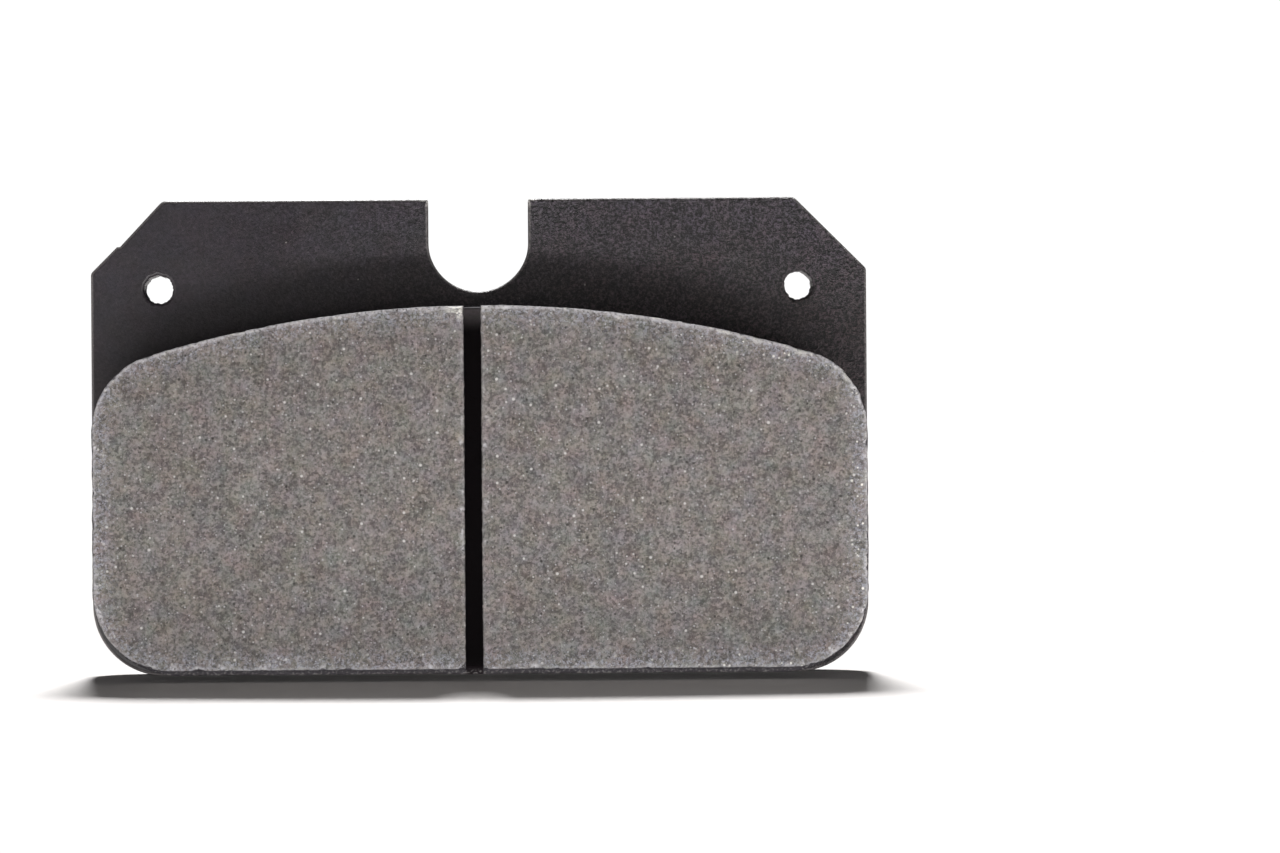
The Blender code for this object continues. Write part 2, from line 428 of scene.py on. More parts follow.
def slot_light_and_shade(shader, colour, fine):
    """The colour, with painted light where the slot's walls come out at the top, and painted shade,
    nearly black, below.
    """
    aside = shader.math("ABSOLUTE", shader.math("SUBTRACT", shader.axis("X"), SLOT_MIDDLE), 0.0)
    in_slot = shader.remap(aside, 1.35 * MM, 1.6 * MM, 1.0, 0.0)
    z = shader.axis("Z")
    below_top = shader.remap(z, BLOCK_TOP - 0.4 * MM, BLOCK_TOP, 1.0, 0.0)
    in_slot = shader.math("MULTIPLY", in_slot, below_top)
    # Painted shade, growing deeper down the slot
    deep = shader.remap(z, BLOCK_TOP - 4.2 * MM, BLOCK_TOP, 1.0, 0.0)
    # Painted light near the slot's top, mottled by the fine noise
    dust = shader.mix(fine, SLOT_PAINTED_LIGHT_DARK, SLOT_PAINTED_LIGHT_BRIGHT)
    return shader.mix(in_slot, colour, shader.mix(deep, dust, SLOT_PAINTED_SHADE))


def moulded_skin(shader):
    """Colour and height of the compound's moulded walls: dark, dense, with pores near the face."""
    mottle = shader.noise(2.4 * MM, detail=4.0, roughness=0.75, seed=5.0)
    colour = shader.mix(shader.remap(mottle, 0.3, 0.7), SKIN_DARK, SKIN_LIGHT)
    fine = shader.noise(0.45 * MM, detail=2.0, roughness=0.8, seed=6.0)
    colour = shader.mix(shader.remap(fine, 0.38, 0.62, 0.0, 0.75), colour, SKIN_GRAIN)
    y = shader.axis("Y")
    near_base = shader.remap(y, FACE_Y + 6 * MM, FILM_LOW.y, 0.0, 0.65)
    colour = shader.mix(near_base, colour, SKIN_AT_BASE)
    near_face = shader.remap(y, FACE_Y + 2 * MM, FACE_Y + 6 * MM, 1.0, 0.3)
    cluster = shader.remap(shader.noise(6.0 * MM, seed=7.0), 0.34, 0.50)
    pore = shader.specks(0.75 * MM, 0.36)
    pore = shader.math("MULTIPLY", pore, shader.math("MULTIPLY", near_face, cluster))
    colour = shader.mix(pore, colour, PORE)
    # Painted light at the slot's top, and painted shade below it
    colour = slot_light_and_shade(shader, colour, fine)
    height = shader.math("ADD", shader.math("MULTIPLY", fine, 0.5), mottle)
    height = shader.math("SUBTRACT", height, shader.math("MULTIPLY", pore, 2.0))
    return colour, height


def friction_material():
    """Ground compound on the face and the slot's edges, moulded skin on the walls, and light worn edges
    with a painted highlight where they face up.
    """
    shader = Shader("friction_compound_finish")
    face_colour, face_height = ground_compound(shader)
    skin_colour, skin_height = moulded_skin(shader)
    ground = shader.attribute("ground")
    colour = shader.mix(ground, skin_colour, face_colour)
    crumbs = shader.remap(shader.noise(0.45 * MM, detail=2.0, seed=8.0), 0.30, 0.55)
    worn = shader.math("MULTIPLY", shader.attribute("worn"), crumbs)
    # The worn colour is wear plus a painted highlight on edges that face up
    colour = shader.mix(worn, colour, WORN_AND_TOP_LIT_EDGE)
    splinters = shader.remap(shader.noise(0.40 * MM, detail=2.0, roughness=0.7, seed=19.0), 0.40, 0.52)
    fresh = shader.math("MULTIPLY", shader.attribute("fresh"), splinters)
    colour = shader.mix(fresh, colour, FRESHLY_BROKEN)
    height = shader.mix(ground, skin_height, face_height)
    normal = shader.bump(height, 0.07 * MM)
    roughness = shader.remap(ground, 0.0, 1.0, 0.72, 0.9)
    return shader.finish(colour, roughness, normal, 0.3)


def underlayer_material():
    """Moulded skin, with a speckled edge where the flange's flash was trimmed, and rough plugs."""
    shader = Shader("underlayer_finish")
    colour, height = moulded_skin(shader)
    crumbs = shader.remap(shader.noise(0.4 * MM, detail=2.0, seed=9.0), 0.5, 0.66)
    worn = shader.math("MULTIPLY", shader.attribute("worn"), crumbs)
    colour = shader.mix(worn, colour, TRIMMED_EDGE)
    plug_grain = shader.noise(0.7 * MM, detail=4.0, roughness=0.7, seed=10.0)
    plug_colour = shader.mix(shader.remap(plug_grain, 0.35, 0.65), PLUG_DARK, PLUG_LIGHT)
    colour = shader.mix(shader.attribute("plug"), colour, plug_colour)
    height = shader.math("ADD", height, shader.math("MULTIPLY", plug_grain, shader.attribute("plug")))
    normal = shader.bump(height, 0.07 * MM)
    return shader.finish(colour, 0.78, normal, 0.3)


def paint_material():
    """Satin black paint over rolled steel, with rubbed edges and two bare corners.

    Its grain is faint at the left end and strong at the right. It is darker close to the friction
    block, which is painted shade, and lighter higher up; the lighter paint starts lower at the left end.
    """
    shader = Shader("black_paint_finish")
    x = shader.axis("X")
    sandy = shader.remap(x, -60 * MM, 60 * MM, 0.25, 2.1)
    peel = shader.noise(0.45 * MM, detail=2.0, roughness=0.9, seed=11.0)
    peel = shader.math("ADD", 0.5, shader.math("MULTIPLY", shader.math("SUBTRACT", peel, 0.5), sandy))
    cloud = shader.noise(14.0 * MM, detail=3.0, roughness=0.6, seed=12.0)
    # Painted shade: the paint is darker close to the friction block's crown and lighter higher up, in
    # cloudy patches, and the tilt in x makes the lighter paint start lower at the left end
    height = shader.math("SUBTRACT", crown_height(shader), shader.math("MULTIPLY", x, 0.14))
    away = shader.remap(height, -MM, 20 * MM)
    unshaded_share = shader.math("MULTIPLY", away, shader.remap(cloud, 0.35, 0.6, 0.7, 1.0))
    grain = shader.math("POWER", shader.remap(peel, 0.28, 0.78), 1.5)
    # The copy near the block is the paint under painted shade; dusty is the same paint without that
    # shade
    paint_in_shade = shader.mix(grain, SHADED_PAINT_DARK, SHADED_PAINT_LIGHT)
    dusty = shader.mix(grain, UNSHADED_PAINT_DARK, UNSHADED_PAINT_LIGHT)
    colour = tinted(shader, shader.mix(unshaded_share, paint_in_shade, dusty), 4.0 * MM, 18.0)
    speck = shader.specks(3.0 * MM, 0.07)
    colour = shader.mix(speck, colour, PAINT_SPECK)
    rubbed = shader.math("MULTIPLY", shader.attribute("edge"), shader.remap(peel, 0.3, 0.6, 0.35, 1.0))
    colour = shader.mix(rubbed, colour, RUBBED_PAINT)
    wear = shader.remap(shader.noise(0.8 * MM, detail=3.0, roughness=0.65, seed=13.0), 0.34, 0.50)
    bare = shader.math("MULTIPLY", shader.attribute("bare"), wear)
    colour = shader.mix(bare, colour, BARE_STEEL)
    roughness = shader.remap(cloud, 0.3, 0.7, 0.38, 0.50)
    normal = shader.bump(peel, 0.16 * MM)
    return shader.finish(colour, roughness, normal, 0.5)


def glue_material():
    """Cured adhesive: dark brown, lumpy, a little shiny."""
    shader = Shader("adhesive_finish")
    lumps = shader.noise(0.8 * MM, detail=3.0, seed=14.0)
    colour = shader.mix(shader.remap(lumps, 0.35, 0.65), GLUE_DARK, GLUE_LIGHT)
    normal = shader.bump(lumps, 0.08 * MM)
    roughness = shader.remap(lumps, 0.3, 0.7, 0.42, 0.6)
    return shader.finish(colour, roughness, normal, 0.5)


def floor_material():
    """A pale matte table."""
    shader = Shader("pale_table")
    cloud = shader.noise(150 * MM, detail=3.0, seed=15.0)
    colour = shader.mix(cloud, TABLE_DARK, TABLE_LIGHT)
    normal = shader.bump(shader.noise(1.5 * MM, detail=2.0, seed=16.0), 0.02 * MM)
    return shader.finish(colour, 0.75, normal, 0.2)


# ---------------------------------------------------------------- friction blocks

SEGMENT_SPACING = 0.3 * MM
FACE_SPACING = 0.42 * MM
EDGE_ROUND = 0.34 * MM
EDGE_BAND = 1.5 * MM
# How far into the slot the ground colour reaches before the walls darken with depth as painted shade
SLOT_SHADE_DEPTH = 5.0 * MM

# How much the edges wander, and how wide the light wear along them is
RAGGED_EDGE = 0.07 * MM
RAGGED_SLOT_EDGE = 0.16 * MM
WORN_WIDTH = 0.45 * MM

# The ground face's fine relief
FACE_RELIEF = 0.030 * MM
FACE_EDGE_RELIEF = 0.012 * MM

# The moulded walls' slow waves, the same on the blocks and the underlayer, so that they meet flush
WALL_WAVE_SIZE = 6 * MM
WALL_WAVE_DEPTH = 0.04 * MM
WALL_WAVE_SEED = 22

# The edge is more crumbly towards the right shoulder, between these x
CRUMBLY_FROM = 20 * MM
CRUMBLY_TO = 45 * MM

# Broken places on the edges: x, z, radius and depth, and how freshly broken and bright they are
CHIPS = [
    (-3.6 * MM, 61.3 * MM, 1.8 * MM, 0.55 * MM, 1.0),
    (-39.2 * MM, 57.8 * MM, 0.8 * MM, 0.25 * MM, 0.6),
    (-55.2 * MM, 54.6 * MM, 1.6 * MM, 0.45 * MM, 0.0),
    (-46.6 * MM, 1.9 * MM, 1.2 * MM, 0.40 * MM, 0.0),
    (-2.6 * MM, 2.0 * MM, 1.1 * MM, 0.60 * MM, 0.0),
    (0.4 * MM, 2.0 * MM, 0.9 * MM, 0.45 * MM, 0.0),
    (0.9 * MM, 61.8 * MM, 0.8 * MM, 0.22 * MM, 0.5),
    (34.5 * MM, 58.7 * MM, 0.9 * MM, 0.20 * MM, 0.0),
    (45.9 * MM, 56.2 * MM, 1.0 * MM, 0.22 * MM, 0.5),
    (53.2 * MM, 54.3 * MM, 1.5 * MM, 0.28 * MM, 0.6),
    (61.0 * MM, 49.7 * MM, 1.0 * MM, 0.25 * MM, 0.6),
    (63.1 * MM, 45.6 * MM, 1.3 * MM, 0.30 * MM, 0.0),
    (57.6 * MM, 5.6 * MM, 1.8 * MM, 0.40 * MM, 0.0),
]


def edge_profile():
    """(inset, depth) from the face's edge band over the rounded edge and down the wall."""
    face = [(inset * MM, 0.0) for inset in (1.5, 1.2, 0.95, 0.7, 0.5)]
    turn = np.linspace(0.0, QUARTER, 5)
    rounded = [(EDGE_ROUND * (1 - math.sin(a)), EDGE_ROUND * (1 - math.cos(a))) for a in turn]
    deepest = LAYER_LOW.y - FACE_Y + 0.1 * MM
    fine = [(0.0, depth * MM) for depth in (0.55, 0.75, 1.0, 1.3, 1.7, 2.2)]
    coarse = [(0.0, depth) for depth in np.linspace(2.8 * MM, deepest, 12)]
    return face + rounded + fine + coarse


def chip_depths(points, seed):
    """How deep the edge is broken away at each point, in metres."""
    deepest = np.clip(rough(points, 1.5 * MM, seed) - 0.22, 0.0, None) * 0.75 * MM
    uneven = 1.0 + 0.5 * rough(points, 0.6 * MM, seed + 1)
    for x, z, radius, depth, _ in CHIPS:
        distance = np.hypot(points[:, 0] - x, points[:, 2] - z)
        bowl = np.clip(1.0 - (distance / radius) ** 2, 0.0, 1.0)
        deepest = np.maximum(deepest, depth * uneven * bowl)
    return deepest


def chip_freshness(points):
    """How freshly broken the edge is at each point, from 0 to 1."""
    freshness = np.zeros(len(points))
    for x, z, radius, _, fresh in CHIPS:
        distance = np.hypot(points[:, 0] - x, points[:, 2] - z)
        freshness = np.maximum(freshness, fresh * np.clip(1.4 - distance / (0.87 * radius), 0.0, 1.0))
    return freshness


def inside_distance(u, z):
    """How far a place (u, z) is inside the block's outline, up to about the corners' radius."""
    past = np.clip(u - CORNER_X, 0.0, None)
    rise = np.clip(z - SHOULDER_Z, 0.0, None)
    low = CORNER_RADIUS - np.hypot(past, np.clip(CORNER_Z - z, 0.0, None))
    crown = CROWN_RADIUS - np.hypot(u, z - CROWN_Z)
    on_shoulder = (past > 0.0) & (np.arctan2(rise, past) < MEETING)
    high = np.where(on_shoulder, CORNER_RADIUS - np.hypot(past, rise), crown)
    return np.minimum(low, high)


def face_fill(ring, wall):
    """Points and triangles that fill the face inside its edge band, on a triangular grid."""
    rows = np.arange(BLOCK_BOTTOM, BLOCK_TOP, FACE_SPACING * math.sqrt(0.75))
    grid = []
    for number, z in enumerate(rows):
        start = wall + (number % 2) * FACE_SPACING / 2
        grid += [(u, z) for u in np.arange(start, BLOCK_HALF, FACE_SPACING)]
    grid = np.array(grid)
    margin = EDGE_BAND + 0.6 * FACE_SPACING
    u, z = grid[:, 0], grid[:, 1]
    grid = grid[(u > wall + margin) & (inside_distance(u, z) > margin)]
    points = [Vector(p) for p in np.concatenate([ring, grid])]
    count = len(ring)
    border = [(index, (index + 1) % count) for index in range(count)]
    triangles = geometry.delaunay_2d_cdt(points, border, [], 1, 1e-9)[2]
    return grid, triangles


def break_edge(ring, normals, slot_wall, depth, reach, seed):
    """Moves a ring's points in and back where the edge is broken, and gives the chips' depths.

    reach is the share of the damage that gets to this ring: 1 at the edge, 0 past the edge band.
    """
    chips = chip_depths(ring, seed)
    ragged = rough(ring, 0.7 * MM, seed + 2) * np.where(slot_wall, RAGGED_SLOT_EDGE, RAGGED_EDGE)
    wavy = rough(ring, WALL_WAVE_SIZE, WALL_WAVE_SEED) * WALL_WAVE_DEPTH if depth else 0.0
    pulled = (chips + ragged) * reach + wavy
    ring[:, 0] -= normals[:, 0] * pulled
    ring[:, 2] -= normals[:, 1] * pulled
    ring[:, 1] += (chips * 0.9 + np.abs(ragged) * 0.5) * reach ** 1.5
    return chips


def ground_share(slot_wall, depth):
    """Where the compound is ground: on the face and its rounded edge, and fading into the slot, where
    the darker skin deeper in is painted shade.
    """
    in_slot = np.clip(1.0 - depth / SLOT_SHADE_DEPTH, 0.0, 1.0)
    return np.where(slot_wall, in_slot, np.clip(1.25 - depth / EDGE_ROUND, 0.0, 1.0))


def edge_wear_and_highlight(normals, slot_wall, from_edge):
    """Light wear along the edge, faint in the slot, with a painted highlight that makes it strongest
    where it faces up.
    """
    # Painted highlight: the edge is lighter where it faces up, towards the overhead light
    top_highlight = 0.45 + 0.3 * normals[:, 1] + 0.25 * normals[:, 1] ** 2
    wear = np.exp(-(from_edge / WORN_WIDTH) ** 2) * top_highlight
    return np.where(slot_wall, 0.3 * wear, wear)


def edge_crumbs(ring, wear, seed):
    """Fresh crumbs here and there along the worn edge, with more of them at the right shoulder."""
    crumbly = np.clip((ring[:, 0] - CRUMBLY_FROM) / (CRUMBLY_TO - CRUMBLY_FROM), 0.0, 1.0)
    uneven = rough(ring, 0.8 * MM, seed + 6, 2) * 4.0 - 1.4 + 0.9 * crumbly
    # The crumbs follow the wear, so they also carry its painted highlight where the edge faces up
    return np.clip(uneven, 0.0, 1.0) * wear


def block_faces(ring_count, count, triangles):
    """Faces of the walls and edges between the rings, of the friction face, and of the hidden back."""
    faces = []
    for number in range(ring_count - 1):
        faces += ring_faces(number * count, (number + 1) * count, count)
    shift = (ring_count - 1) * count
    for triangle in triangles:
        faces.append(tuple(index if index < count else index + shift for index in triangle))
    faces.append(tuple(range(shift, shift + count)))
    return faces


def friction_block(name, node, side, wall, seed, material):
    """One friction segment: side is -1 or 1, and wall the slot wall's distance from the middle."""
    mirror = np.array([side, 1.0])
    profile = edge_profile()
    outlines = [segment_outline(wall, inset, SEGMENT_SPACING) for inset, _ in profile]
    count = len(outlines[0])
    normals = outward_normals(outlines[-1]) * mirror
    slot_wall = np.arange(count) >= count - slot_wall_steps(SEGMENT_SPACING)
    rings, ground, worn, fresh = [], [], [], []
    for outline, (inset, depth) in zip(outlines, profile):
        ring = upright(outline * mirror, FACE_Y + depth)
        reach = max(0.0, 1.0 - (inset + depth) / EDGE_BAND)
        chips = break_edge(ring, normals, slot_wall, depth, reach, seed)
        # Edge wear, with a painted highlight where the edge faces up
        wear = edge_wear_and_highlight(normals, slot_wall, inset + depth)
        chip_wear = 0.7 * np.clip(chips / (0.4 * MM), 0, 1) * reach
        crumbs = edge_crumbs(ring, wear, seed)
        rings.append(ring)
        ground.append(ground_share(slot_wall, depth))
        worn.append(wear + chip_wear)
        fresh.append(np.maximum(crumbs, chip_freshness(ring) * (reach > 0.3)))
    grid, triangles = face_fill(outlines[0], wall)
    inner = upright(grid * mirror, FACE_Y)
    rings[0][:, 1] += rough(rings[0], 0.9 * MM, seed + 4, 2) * FACE_EDGE_RELIEF
    inner[:, 1] += np.abs(rough(inner, 0.9 * MM, seed + 4, 2)) * FACE_RELIEF
    vertices = np.concatenate(rings + [inner])
    piece = new_piece(name, vertices, block_faces(len(rings), count, triangles), material)
    on_face = np.zeros(len(grid))
    add_attribute(piece.data, "inside", inside_distance(vertices[:, 0] * side, vertices[:, 2]))
    add_attribute(piece.data, "ground", np.concatenate(ground + [on_face + 1.0]))
    add_attribute(piece.data, "worn", np.clip(np.concatenate(worn + [on_face]), 0.0, 1.0))
    add_attribute(piece.data, "fresh", np.concatenate(fresh + [on_face]))
    take_place(piece, node)


# ---------------------------------------------------------------- underlayer and adhesive

FLANGE_FRONT_Y = FILM_LOW.y - 0.15 * MM - FLANGE_THICKNESS
LAYER_SPACING = 0.5 * MM
FLARE_STEPS = 10
FLANGE_TRIM = 0.10 * MM

# A key's end in the plate's hole: how uneven it is, how much it sinks at its rim, and how deep it lies
PLUG_RINGS = 12
PLUG_SIDES = 64
PLUG_UNEVEN = 0.12 * MM
PLUG_DISH = 0.18 * MM
PLUG_DEPTH = 0.12 * MM

GLUE_RAGGED = 0.16 * MM
GLUE_BULGE = 0.10 * MM


def flange_reach(normals):
    """How far the flange stands out of the block's wall at each point of the outline."""
    angle = np.arctan2(normals[:, 1], np.abs(normals[:, 0]))
    along = np.clip(angle / MEETING, 0.0, 1.0)
    return FLANGE_REACH + (FLANGE_REACH_TOP - FLANGE_REACH) * along


def plug(place, back_y, front_y):
    """Vertices and faces of one moulded key, with an uneven end in the plate's hole."""
    vertices = [(place[0], back_y, place[1])]
    for number in range(1, PLUG_RINGS + 1):
        radius = KEY_HOLE_RADIUS * number / PLUG_RINGS
        ring = arc(place, radius, 0.0, 2 * math.pi, PLUG_SIDES)
        vertices += [(x, back_y, z) for x, z in ring]
    vertices = np.array(vertices)
    dish = np.hypot(vertices[:, 0] - place[0], vertices[:, 2] - place[1]) / KEY_HOLE_RADIUS
    vertices[:, 1] += rough(vertices, 2.2 * MM, 31) * PLUG_UNEVEN - dish ** 4 * PLUG_DISH - PLUG_DEPTH
    stem = vertices[-PLUG_SIDES:].copy()
    stem[:, 1] = front_y
    vertices = np.concatenate([vertices, stem])
    faces = [(0, 1 + index, 1 + (index + 1) % PLUG_SIDES) for index in range(PLUG_SIDES)]
    for number in range(PLUG_RINGS):
        faces += ring_faces(1 + number * PLUG_SIDES, 1 + (number + 1) * PLUG_SIDES, PLUG_SIDES)
    faces.append(tuple(range(len(vertices) - PLUG_SIDES, len(vertices))))
    return vertices, faces


def layer_sections():
    """(share of the flange's reach, y) from the layer's back round the flange and up the wall."""
    rim = [(1.0, FILM_LOW.y), (1.03, FILM_LOW.y - 0.12 * MM), (1.0, FLANGE_FRONT_Y)]
    flare = []
    for step in range(1, FLARE_STEPS + 1):
        angle = QUARTER * step / FLARE_STEPS
        flare.append((1 - math.sin(angle), FLANGE_FRONT_Y - FLARE_HEIGHT * (1 - math.cos(angle))))
    return rim + flare + [(0.0, LAYER_LOW.y)]


def underlayer_piece(material):
    """The base layer: a thin flange with a trimmed edge, flared into the wall, and its four keys."""
    outline = block_outline(LAYER_SPACING)
    normals = outward_normals(outline)
    reach = flange_reach(normals)
    count = len(outline)
    rings, worn = [], []
    trimmed = rough(upright(outline, FLANGE_FRONT_Y), 2.5 * MM, 21) * FLANGE_TRIM
    for share, y in layer_sections():
        wavy = rough(upright(outline, y), WALL_WAVE_SIZE, WALL_WAVE_SEED) * WALL_WAVE_DEPTH
        ring = outline + normals * (reach * share + trimmed * share ** 2 - wavy)[:, None]
        ring[:, 1] = np.maximum(ring[:, 1], TABLE_Z)
        rings.append(upright(ring, y))
        trim_wear = np.clip(share * 1.6 - 0.75, 0.0, 1.0)
        worn.append(np.full(count, trim_wear))
    vertices = np.concatenate(rings)
    faces = [tuple(range(count))]
    for number in range(len(rings) - 1):
        faces += ring_faces(number * count, (number + 1) * count, count)
    faces.append(tuple(range(len(vertices) - count, len(vertices))))
    is_plug = [np.zeros(len(vertices))]
    for place in KEY_PLACES:
        points, plug_faces = plug(place, PLATE_HIGH.y, FILM_LOW.y - MM)
        faces += [tuple(index + len(vertices) for index in face) for face in plug_faces]
        vertices = np.concatenate([vertices, points])
        is_plug.append(np.ones(len(points)))
        worn.append(np.zeros(len(points)))
    piece = new_piece("moulded_underlayer", vertices, faces, material)
    add_attribute(piece.data, "worn", np.concatenate(worn))
    add_attribute(piece.data, "plug", np.concatenate(is_plug))
    take_place(piece, "underlayer")


def adhesive_piece(material):
    """The glue line between the plate and the flange, squeezed out unevenly along its edge."""
    outline = block_outline(LAYER_SPACING)
    normals = outward_normals(outline)
    reach = flange_reach(normals)
    ragged = rough(upright(outline, PLATE_LOW.y), 3 * MM, 23) * GLUE_RAGGED - GLUE_RAGGED
    count = len(outline)
    middle_y = (PLATE_LOW.y + FILM_LOW.y) / 2
    rings = []
    for y, bulge in ((PLATE_LOW.y, 0.0), (middle_y, GLUE_BULGE), (FILM_LOW.y, 0.0)):
        rings.append(upright(outline + normals * (reach + ragged + bulge)[:, None], y))
    faces = [tuple(range(count)), tuple(range(2 * count, 3 * count))]
    faces += ring_faces(0, count, count) + ring_faces(count, 2 * count, count)
    piece = new_piece("glue_line", np.concatenate(rings), faces, material)
    take_place(piece, "adhesive_film")


# ---------------------------------------------------------------- backing plate

PLATE_EDGE = 0.5 * MM
EDGE_SEGMENTS = 3
OUTLINE_SPACING = 0.4 * MM
HOLE_SIDES = 72
NOTCH_CORNER_RADIUS = 0.3 * MM
TOP_CORNER_RADIUS = 1.6 * MM
SIDE_CORNER_RADIUS = 0.9 * MM

# How far built-up paint narrows the holes
PIN_HOLE_PAINT = 0.35 * MM
KEY_HOLE_PAINT = 0.05 * MM

# The left corner cut has a small step at a share of its height, where it was cut in two strokes
STEP_HEIGHT = 0.375
STEP_DEPTH = 0.35 * MM


def unit(vector):
    """The vector at length 1."""
    return vector / np.linalg.norm(vector)


def rounded_outline(corners, spacing):
    """A closed outline with round corners, given as (x, z, radius), and points all along it."""
    rounds = []
    for index, (x, z, radius) in enumerate(corners):
        corner = np.array((x, z))
        come = unit(corner - np.array(corners[index - 1][:2]))
        leave = unit(np.array(corners[(index + 1) % len(corners)][:2]) - corner)
        turn = math.atan2(come[0] * leave[1] - come[1] * leave[0], come @ leave)
        start = corner - come * radius * math.tan(abs(turn) / 2)
        centre = start + math.copysign(radius, turn) * np.array((-come[1], come[0]))
        first = math.atan2(start[1] - centre[1], start[0] - centre[0])
        steps = steps_for(radius * abs(turn), spacing)
        rounds.append((start, arc(centre, radius, first, first + turn, steps)))
    points = []
    for index, (start, bend) in enumerate(rounds):
        before = rounds[index - 1][1][-1]
        length = math.dist(before, start)
        if length > 0.01 * MM:
            points.append(line(before, start, max(1, round(length / spacing))))
        points.append(bend)
    return np.concatenate(points)


def plate_outline():
    """The plate's outline with its notch, anticlockwise, and a step in the left corner cut."""
    half = PLATE_HIGH.x
    top = PLATE_HIGH.z
    cut_x = half - PLATE_CORNER_CUT
    cut_z = top - PLATE_CORNER_CUT
    notch = NOTCH_WIDTH / 2
    notch_z = top - NOTCH_DEPTH
    outline = rounded_outline([
        (-half, 0.0, PLATE_BOTTOM_RADIUS),
        (half, 0.0, PLATE_BOTTOM_RADIUS),
        (half, cut_z, SIDE_CORNER_RADIUS),
        (cut_x, top, TOP_CORNER_RADIUS),
        (notch, top, NOTCH_CORNER_RADIUS),
        (notch, notch_z, notch),
        (-notch, notch_z, notch),
        (-notch, top, NOTCH_CORNER_RADIUS),
        (-cut_x, top, TOP_CORNER_RADIUS),
        (-half, cut_z, SIDE_CORNER_RADIUS),
    ], OUTLINE_SPACING)
    height = (outline[:, 1] - cut_z) / PLATE_CORNER_CUT
    stepped = (outline[:, 0] < -cut_x) & (height > STEP_HEIGHT)
    depth = np.where(stepped, STEP_DEPTH * (1 - height) / (1 - STEP_HEIGHT), 0.0)
    return outline + depth[:, None] * np.array((math.sqrt(0.5), -math.sqrt(0.5)))


def hole_outline(centre, radius, uneven, seed):
    """A round hole, clockwise, whose edge wanders inwards where paint has built up."""
    outline = arc(centre, radius, 0.0, -2 * math.pi, HOLE_SIDES)
    shrink = np.abs(rough(upright(outline, 0.0), 1.3 * MM, seed)) * uneven / radius
    return np.array(centre) + (outline - np.array(centre)) * (1 - shrink)[:, None]


def plate_mesh():
    """The plate's flat outline and holes, extruded with rounded edges."""
    curve = bpy.data.curves.new("plate_outline", "CURVE")
    curve.dimensions = "2D"
    curve.fill_mode = "BOTH"
    curve.bevel_depth = PLATE_EDGE
    curve.bevel_resolution = EDGE_SEGMENTS - 1
    curve.offset = -PLATE_EDGE
    curve.extrude = (PLATE_HIGH.y - PLATE_LOW.y) / 2 - PLATE_EDGE
    outlines = [plate_outline()]
    for side in (-1, 1):
        centre = (side * PIN_HOLE_SPACING / 2, PLATE_HIGH.z - PIN_HOLE_DROP)
        outlines.append(hole_outline(centre, PIN_HOLE_RADIUS, PIN_HOLE_PAINT, 24 + side))
    for number, place in enumerate(KEY_PLACES):
        outlines.append(hole_outline(place, KEY_HOLE_RADIUS, KEY_HOLE_PAINT, 26 + number))
    for outline in outlines:
        spline = curve.splines.new("POLY")
        spline.points.add(len(outline) - 1)
        for point, (x, z) in zip(spline.points, outline):
            point.co = (x, z, 0.0, 1.0)
        spline.use_cyclic_u = True
    guide = bpy.data.objects.new("plate_guide", curve)
    bpy.context.scene.collection.objects.link(guide)
    bpy.context.view_layer.update()
    evaluated = guide.evaluated_get(bpy.context.evaluated_depsgraph_get())
    mesh = bpy.data.meshes.new_from_object(evaluated)
    bpy.data.objects.remove(guide, do_unlink=True)
    middle = Matrix.Translation((0.0, (PLATE_LOW.y + PLATE_HIGH.y) / 2, 0.0))
    mesh.transform(middle @ Matrix.Rotation(QUARTER, 4, "X"))
    return mesh


def rounded_edge(points, depth):
    """How much the paint is rubbed: the rounded edges fully, the sides a little, the holes hardly."""
    edge = np.where(depth < 0.02 * PLATE_EDGE, 0.0, np.where(depth < 0.98 * PLATE_EDGE, 1.0, 0.15))
    hole_z = PLATE_HIGH.z - PIN_HOLE_DROP
    from_hole = np.hypot(np.abs(points[:, 0]) - PIN_HOLE_SPACING / 2, points[:, 2] - hole_z)
    return np.where(from_hole < PIN_HOLE_RADIUS + MM, 0.1 * edge, edge)


def bare_corners(points):
    """Where the paint is worn to bare steel: at the notch's two top corners."""
    bare = np.zeros(len(points))
    for side in (-1, 1):
        corner_x = side * NOTCH_WIDTH / 2
        distance = np.hypot(points[:, 0] - corner_x, points[:, 2] - PLATE_HIGH.z)
        bare = np.maximum(bare, np.clip(1.5 - distance / (1.1 * MM), 0.0, 1.0))
    return bare


def plate_piece(material):
    """The plate: flat faces, rounded edges, and its wear for the paint."""
    mesh = plate_mesh()
    shape = bmesh.new()
    shape.from_mesh(mesh)
    bmesh.ops.remove_doubles(shape, verts=shape.verts, dist=0.005 * MM)
    bmesh.ops.recalc_face_normals(shape, faces=shape.faces)
    shape.to_mesh(mesh)
    shape.free()
    mesh.set_sharp_from_angle(angle=math.radians(40))
    for polygon in mesh.polygons:
        polygon.use_smooth = abs(polygon.normal.y) < 0.999
    mesh.materials.clear()
    mesh.materials.append(material)
    points = np.array([vertex.co for vertex in mesh.vertices])
    depth = np.minimum(points[:, 1] - PLATE_LOW.y, PLATE_HIGH.y - points[:, 1])
    piece = bpy.data.objects.new("painted_backing_plate", mesh)
    bpy.context.scene.collection.objects.link(piece)
    add_attribute(mesh, "edge", rounded_edge(points, depth))
    add_attribute(mesh, "bare", bare_corners(points) * (depth > 0.02 * PLATE_EDGE))
    take_place(piece, "backing_plate")


# ---------------------------------------------------------------- studio

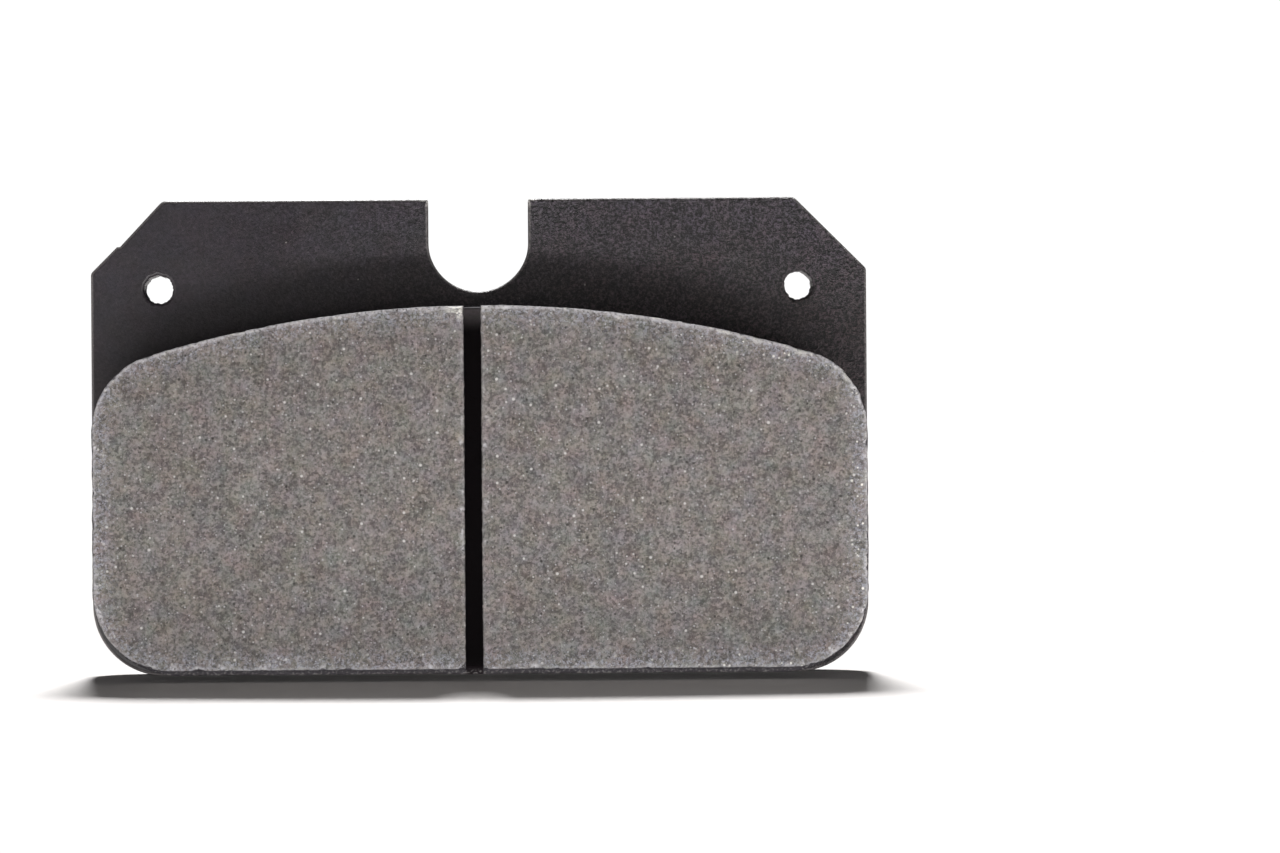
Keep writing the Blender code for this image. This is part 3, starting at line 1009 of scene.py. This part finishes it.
FLOOR_SIZE = 8.0
FOCAL_LENGTH = 90.6
CAMERA_DISTANCE = 0.546
CAMERA_PLACE = (0.08 * MM, PLATE_LOW.y - CAMERA_DISTANCE, 41.9 * MM)
CAMERA_ROLL = math.radians(-0.4)
CAMERA_SHIFT = 0.125
CARD_WIDTH = 260 * MM
CARD_HEIGHT = 7 * MM
CARD_PLACE = (30 * MM, -100 * MM, 4.5 * MM)

# The white room's strength, as a light and as the camera sees it
WORLD_LIGHT = 0.035
WORLD_SEEN = 1.05


def add_floor():
    """A large pale table that the pad stands on."""
    half = FLOOR_SIZE / 2
    corners = [(x, y, TABLE_Z) for x, y in ((-half, -half), (half, -half), (half, half), (-half, half))]
    mesh = bpy.data.meshes.new("table")
    mesh.from_pydata(corners, [], [(0, 1, 2, 3)])
    mesh.materials.append(floor_material())
    floor = bpy.data.objects.new("table", mesh)
    bpy.context.scene.collection.objects.link(floor)


def add_world():
    """A white room: pure white where the camera sees it, and faint as light."""
    world = bpy.data.worlds.new("white_room")
    bpy.context.scene.world = world
    world.use_nodes = True
    tree = world.node_tree
    background = tree.nodes["Background"]
    background.inputs["Color"].default_value = (1.0, 1.0, 1.0, 1.0)
    path = tree.nodes.new("ShaderNodeLightPath")
    strength = tree.nodes.new("ShaderNodeMapRange")
    strength.inputs["To Min"].default_value = WORLD_LIGHT
    strength.inputs["To Max"].default_value = WORLD_SEEN
    tree.links.new(path.outputs["Is Camera Ray"], strength.inputs["Value"])
    tree.links.new(strength.outputs["Result"], background.inputs["Strength"])


def add_sun(name, strength, softness, azimuth, elevation):
    """A soft, even light from a direction in degrees: azimuth 0 is the camera's side."""
    light = bpy.data.lights.new(name, "SUN")
    light.energy = strength
    light.angle = math.radians(softness)
    lamp = bpy.data.objects.new(name, light)
    turn = Matrix.Rotation(math.radians(azimuth), 4, "Z")
    tilt = Matrix.Rotation(math.radians(90 - elevation), 4, "X")
    lamp.matrix_world = turn @ tilt
    bpy.context.scene.collection.objects.link(lamp)


def add_low_card(strength):
    """A low white card in front, which lights the face's lower part, as a studio reflector does."""
    light = bpy.data.lights.new("low_card", "AREA")
    light.energy = strength
    light.shape = "RECTANGLE"
    light.size = CARD_WIDTH
    light.size_y = CARD_HEIGHT
    lamp = bpy.data.objects.new("low_card", light)
    lamp.visible_camera = False
    lamp.matrix_world = Matrix.Translation(CARD_PLACE) @ Matrix.Rotation(QUARTER, 4, "X")
    bpy.context.scene.collection.objects.link(lamp)


def add_camera():
    """A level camera in front of the pad, shifted so that the pad is left of the picture's middle."""
    camera = bpy.data.cameras.new("camera")
    camera.lens = FOCAL_LENGTH
    camera.shift_x = CAMERA_SHIFT
    holder = bpy.data.objects.new("camera", camera)
    level = Matrix.Rotation(QUARTER, 4, "X")
    roll = Matrix.Rotation(CAMERA_ROLL, 4, "Z")
    holder.matrix_world = Matrix.Translation(CAMERA_PLACE) @ level @ roll
    bpy.context.scene.collection.objects.link(holder)
    bpy.context.scene.camera = holder


# ---------------------------------------------------------------- build

bpy.context.scene.view_settings.view_transform = "Standard"
add_world()
add_floor()
add_camera()
add_sun("overhead", strength=5.8, softness=10, azimuth=180, elevation=58)
add_sun("front_left", strength=0.26, softness=10, azimuth=-42, elevation=2)
add_sun("front_right", strength=0.31, softness=10, azimuth=42, elevation=2)
add_low_card(strength=0.138)

compound = friction_material()
friction_block("left_friction_block", "friction_segment_left", -1, -LEFT_HIGH.x, 1, compound)
friction_block("right_friction_block", "friction_segment_right", 1, RIGHT_LOW.x, 11, compound)
underlayer_piece(underlayer_material())
adhesive_piece(glue_material())
plate_piece(paint_material())
